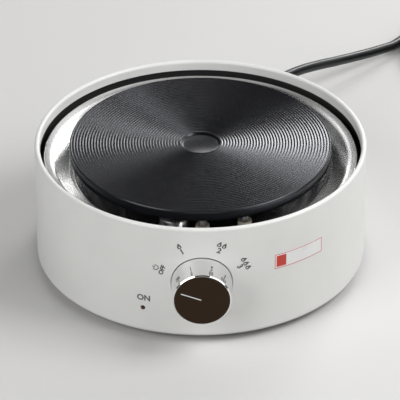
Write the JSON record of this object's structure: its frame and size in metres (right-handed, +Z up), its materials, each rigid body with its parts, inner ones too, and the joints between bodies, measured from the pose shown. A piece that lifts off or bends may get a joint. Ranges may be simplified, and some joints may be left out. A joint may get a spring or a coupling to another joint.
{
  "type": "portable hot plate",
  "caption": "Round white portable electric hot plate with a grooved cast plate in a drip tray, a front heat knob, an indicator light and a mains cord with its plug.",
  "frame": {"origin": "on the table under the middle of the object, on the round body's axis", "axes": "+Z up along the body's axis, -Y towards the knob, +X to the viewer's right"},
  "size_m": [0.326, 0.3837, 0.075],
  "materials": {
    "white_paint": "satin white paint on steel",
    "cast_plate": "heat-blackened, turned",
    "polished_steel": "polished",
    "element_sheath": "dull",
    "ceramic": "matte",
    "ceramic_fibre": "felted",
    "zinc_steel": "zinc plated",
    "cap_aluminium": "satin",
    "phenolic": "moulded",
    "brass": "bright",
    "bright_cap": "polished",
    "knob_plastic": "moulded",
    "dark_face": "polished dark",
    "pointer_white": "white inlay",
    "lens_dark": "smoked red",
    "lamp_glass": "clear",
    "nylon": "moulded",
    "wire_brown": "silicone",
    "wire_blue": "silicone",
    "wire_earth": "silicone",
    "wire_red": "PVC",
    "cord_black": "smooth sheath",
    "foot_rubber": "matte",
    "base_black": "satin black",
    "tie_black": "woven"
  },
  "bodies": {
    "stove": {"body_shell": "white_paint", "base_plate": "base_black", "rubber_feet": "foot_rubber", "base_screws": "zinc_steel", "drip_tray": "polished_steel", "heating_plate": "cast_plate", "heating_element": "element_sheath", "element_bushes": "ceramic", "plate_posts": "zinc_steel", "plate_sleeve": "zinc_steel", "plate_stud": "zinc_steel", "stud_washer": "zinc_steel", "stud_nut": "zinc_steel", "insulation_pad": "ceramic_fibre", "heat_shield": "cap_aluminium", "support_bracket": "zinc_steel", "bracket_screws": "zinc_steel", "bracket_nuts": "zinc_steel", "cutout_cap": "cap_aluminium", "cutout_body": "phenolic", "cutout_blades": "brass", "switch_body": "phenolic", "switch_blades": "brass", "switch_screws": "zinc_steel", "indicator_lens": "lens_dark", "indicator_lamp": "lamp_glass", "lamp_leads": "wire_red", "terminal_block": "nylon", "terminal_screws": "brass", "live_wire": "wire_brown", "neutral_wire": "wire_blue", "element_wire": "wire_brown", "cutout_wire": "wire_blue", "earth_wire": "wire_earth", "supply_cores": "wire_brown", "cord_gland": "cord_black", "inner_cord": "cord_black", "cord_clamp": "nylon", "clamp_cap": "nylon", "clamp_screws": "zinc_steel", "cord_lead": "cord_black", "cord_coil": "cord_black", "cord_tail": "cord_black", "cord_tie": "tie_black", "plug_body": "cord_black", "plug_pins": "brass"},
    "knob": {"knob_cap": "bright_cap", "knob_core": "knob_plastic", "knob_face": "dark_face", "knob_pointer": "pointer_white", "switch_shaft": "zinc_steel"}
  },
  "joints": [
    {"name": "knob_turn", "type": "hinge", "parent": "stove", "child": "knob", "pos_m": [0, -0.095, 0.0395], "axis": [0, 1, 0], "range_deg": [0, 135]}
  ]
}
